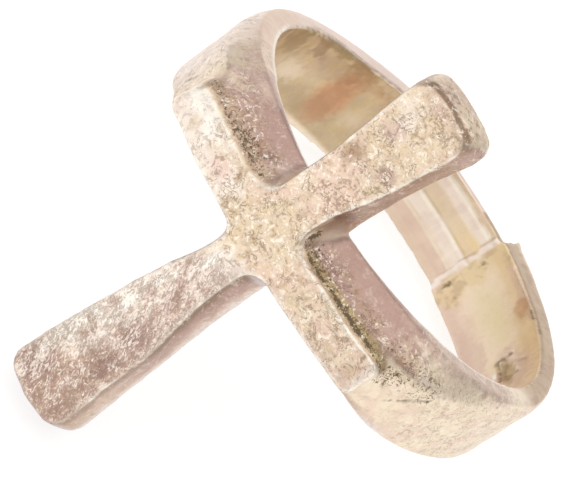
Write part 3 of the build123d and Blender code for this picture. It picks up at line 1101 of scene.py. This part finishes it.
# Each colour patch's middle, half widths, tint, share, raggedness and, where it is sunk, depth
BAND_STAINS = (
    (-125, 0, 1.2, 1.6, Tint.GOLD, 0.4, 0.3),
    (-127.5, -0.3, 0.95, 1.75, Tint.ORANGE, 1, 0.25),
    (-127.5, -0.3, 0.7, 1.3, Tint.BROWN, 0.3, 0.6),
    (-95, 1, 1.3, 1, Tint.OLIVE, 0.75, 0.9),
    (-118, 1.75, 3.2, 0.35, Tint.OLIVE, 0.8, 0.9),
    (-107, 1.2, 0.8, 0.6, Tint.BROWN, 0.6, 1.2),
    (-130, 1.4, 1.8, 0.6, Tint.RUST, 0.35, 0.8),
    (-122, -1.4, 2.2, 0.8, Tint.BROWN, 0.3, 0.8),
    (-111, -0.6, 0.7, 0.7, Tint.CREAM, 0.4, 0.8),
    (-80, 1.2, 1.3, 0.8, Tint.BROWN, 0.6, 0.9),
    (-105, -0.6, 1.4, 0.8, Tint.CREAM, 0.6, 0.8),
    (-120, 0.9, 1.6, 0.8, Tint.BROWN, 0.3, 0.8),
    (157, 1.5, 1.8, 0.5, Tint.HONEY, 0.45, 0.4),
    (156, 1.85, 2, 0.35, Tint.FAWN, 0.5, 0.5),
    (160, 0.9, 1.2, 0.7, Tint.CREAM, 0.6, 0.6),
    (126, -1.2, 1.8, 0.6, Tint.FAWN, 0.35, 0.6),
    (136, 1.4, 1.5, 0.6, Tint.GOLD, 0.45, 0.5),
    (152, 0.2, 1.5, 0.7, Tint.MOSS, 0.6, 0.6),
    (147, 1.6, 0.6, 0.5, Tint.RUST, 0.5, 0.7),
    (140, -1.5, 2.2, 0.7, Tint.FAWN, 0.5, 0.8),
    (168.4, -1.2, 0.13, 0.34, Tint.OLIVE, 0.65, 1.3),
    (168.4, -1.25, 0.09, 0.24, Tint.SOOT, 0.7, 1.6),
    (167.4, 0.7, 0.16, 0.26, Tint.SOOT, 0.65, 1.5),
    (163.8, -1.17, 0.12, 0.12, Tint.BROWN, 0.8, 0.6),
    (125, 0.4, 2, 1.3, Tint.FAWN, 0.65, 0.6),
    (128.5, 0.15, 1, 0.4, Tint.OLIVE, 0.8, 0.35, 0.16),
    (123, 0.3, 0.8, 0.2, Tint.OLIVE, 0.6, 0.7),
    (129.5, -0.55, 0.3, 0.15, Tint.WHITE, 0.8, 0.5),
)
# On the cross the WHITE rows are painted highlights: streaks along the long arm and a patch at the bar's
# left end; the other rows are the metal's own colour, some of them sunk.
CROSS_STAINS_AND_HIGHLIGHTS = (
    (0.5, -8.4, 0.7, 0.9, Tint.PLUM, 0.9, 0.45, 0.03),
    (-0.35, -9.9, 0.5, 0.9, Tint.PALE, 0.6, 0.8),
    (0.6, -2.9, 0.7, 0.7, Tint.PALE, 0.6, 0.8),
    (0.1, -5.7, 0.45, 0.6, Tint.DUSK, 0.7, 0.9),
    (0.9, -10.2, 0.4, 0.65, Tint.PLUM, 0.8, 1.2, 0.06),
    (-1.1, -12.9, 0.95, 0.95, Tint.PLUM, 0.85, 0.4),
    (-1.6, -10.5, 0.6, 1.8, Tint.WHITE, 0.9, 0.8),
    (-1.15, -6.8, 0.4, 0.7, Tint.WHITE, 0.7, 0.8),
    (0.1, -3.4, 0.9, 0.9, Tint.PALE, 0.6, 0.8),
    (1.1, -13.1, 0.45, 0.4, Tint.DUSK, 0.7, 0.8),
    (0.5, -11.7, 0.4, 0.5, Tint.DUSK, 0.6, 0.8),
    (-0.3, -3.6, 0.25, 0.75, Tint.WHITE, 0.9, 0.6),
    (-0.85, -5.9, 0.25, 0.8, Tint.WHITE, 0.9, 0.6),
    (-0.9, -8, 0.3, 1.1, Tint.WHITE, 0.9, 0.7),
    (-0.9, -9.2, 0.6, 0.3, Tint.WHITE, 0.8, 0.8),
    (-0.7, 4.5, 0.6, 0.6, Tint.BROWN, 0.8, 0.9, 0.04),
    (1, 5.3, 0.45, 0.5, Tint.DUSK, 0.75, 1.2, 0.04),
    (-0.5, 7.4, 0.8, 0.9, Tint.PALE, 0.5, 0.9),
    (-2.7, -1.2, 0.9, 0.7, Tint.PALE, 0.65, 0.8),
    (-0.4, 6.6, 0.45, 0.45, Tint.FAWN, 0.7, 1.4, 0.03),
    (0, 8.7, 0.5, 0.4, Tint.FAWN, 0.5, 1.4),
    (5.2, -1, 0.8, 0.6, Tint.ROSE, 0.5, 1),
    (-6.8, -0.7, 0.8, 0.5, Tint.WHITE, 0.8, 0.7),
    (-6.2, -0.5, 1.3, 0.4, Tint.WHITE, 0.7, 0.5),
    (-5.2, -0.9, 0.7, 0.5, Tint.WHITE, 0.7, 0.9),
    (-3.6, -1.1, 0.7, 0.6, Tint.ROSE, 0.6, 0.8),
)
STAINS_AND_HIGHLIGHTS = tuple(
    ColourPatch(sheet, row[:2], row[2:4], *row[4:])
    for sheet, rows in ((Sheet.BAND, BAND_STAINS), (Sheet.CROSS, CROSS_STAINS_AND_HIGHLIGHTS))
    for row in rows
)

# Each scratch's points, width, depth and share
SCRATCHES = (
    Scratch(((7.78, -0.23, -5.45), (6.73, -0.32, -6.7), (6.71, 0.47, -6.72)), 0.11, 0.05, 0.7),
    Scratch(((6.9, -0.1, -6.5), (7.47, 1.3, -5.87)), 0.16, 0.02, 0.2),
    Scratch(((7.4, -0.1, -5.9), (7.8, 0.7, -5.4)), 0.18, 0.03, 0.3),
    Scratch(((5.36, 1.97, -7.84), (5.81, 1.99, -7.52)), 0.1, 0.04, 0.6),
    Scratch(((6.22, 2.06, -7.2), (6.68, 2.1, -6.93)), 0.09, 0.04, 0.75),
    Scratch(((-8.2, -2.07, 8.28), (-8.46, -1.58, 8.02), (-8.31, -0.89, 8.39)), 0.13, 0.03, 0.3),
    Scratch(((-3.11, 0.50, 10.68), (-2.92, 0.81, 10.41)), 0.14, 0.08),
    Scratch(((8.35, -1.04, 8.38), (9, -0.29, 7.85), (9.35, 0.25, 7.1)), 0.1, 0.05, 0.6),
)

# Places along the finger on the insert, and the heights of its facets there
FACET_PLACES = (-1.95, -1.5, -0.8, -0.72, -0.05, 0.06, 0.18, 0.9, 1.45, 1.55, 1.68, 1.95)
FACET_HEIGHTS = (-0.05, -0.01, 0.01, -0.005, -0.005, 0.025, -0.015, -0.02, -0.005, 0.02, -0.015, -0.06)
# Each painted reflection stripe's start and end along the finger, its tint and share; the thin white ones
# are painted highlights along the facets' edges
FACET_TINTS = (
    (-2, -1.5, Tint.SAND, 0.5),
    (-1.4, -0.95, Tint.FAWN, 0.35),
    (-0.82, -0.76, Tint.WHITE, 0.4),
    (-0.6, -0.1, Tint.PALE, 0.75),
    (0.03, 0.08, Tint.WHITE, 0.9),
    (0.25, 0.85, Tint.SAND, 0.3),
    (1, 1.4, Tint.PALE, 0.8),
    (1.52, 1.58, Tint.WHITE, 0.9),
    (1.75, 2.1, Tint.SAND, 0.8),
)

# Each finish's roughness, metallic, shares of light flecks, which are painted glints, and dark flecks, and
# heights of grain and strokes
FINISHES = {
    Zone.CAST: Silver("cast_silver", 0.38, 0.92, 0.7, 0.7, 0.05, 0.06),
    Zone.INNER: Silver("stained_inner_silver", 0.42, 0.88, 0.4, 0.5, 0.03, 0),
    Zone.INSERT: Silver("polished_insert_silver", 0.42, 0.92, 0.3, 0.3, 0.012, 0),
}


def main() -> None:
    """Builds the camera, the stage and the dressed ring."""
    logging.basicConfig(level=logging.INFO, format="%(name)s: %(message)s")
    bpy.context.scene.view_settings.view_transform = "Standard"
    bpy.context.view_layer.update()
    axes = RingAxes.from_bore(frame["record"]["mounts"][0])
    PhotoCamera().build(axes)
    Stage().build(axes)
    piece = CastRing(axes, STAINS_AND_HIGHLIGHTS, SCRATCHES).build("cast_ring")
    effects = SharedEffects()
    for zone in Zone:
        piece.data.materials.append(FINISHES[zone].build(effects))
    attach(piece, "root")
    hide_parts("cast_ring")
    log.info("made %s with %d faces", piece.name, len(piece.data.polygons))


if __name__ == "__main__":
    main()
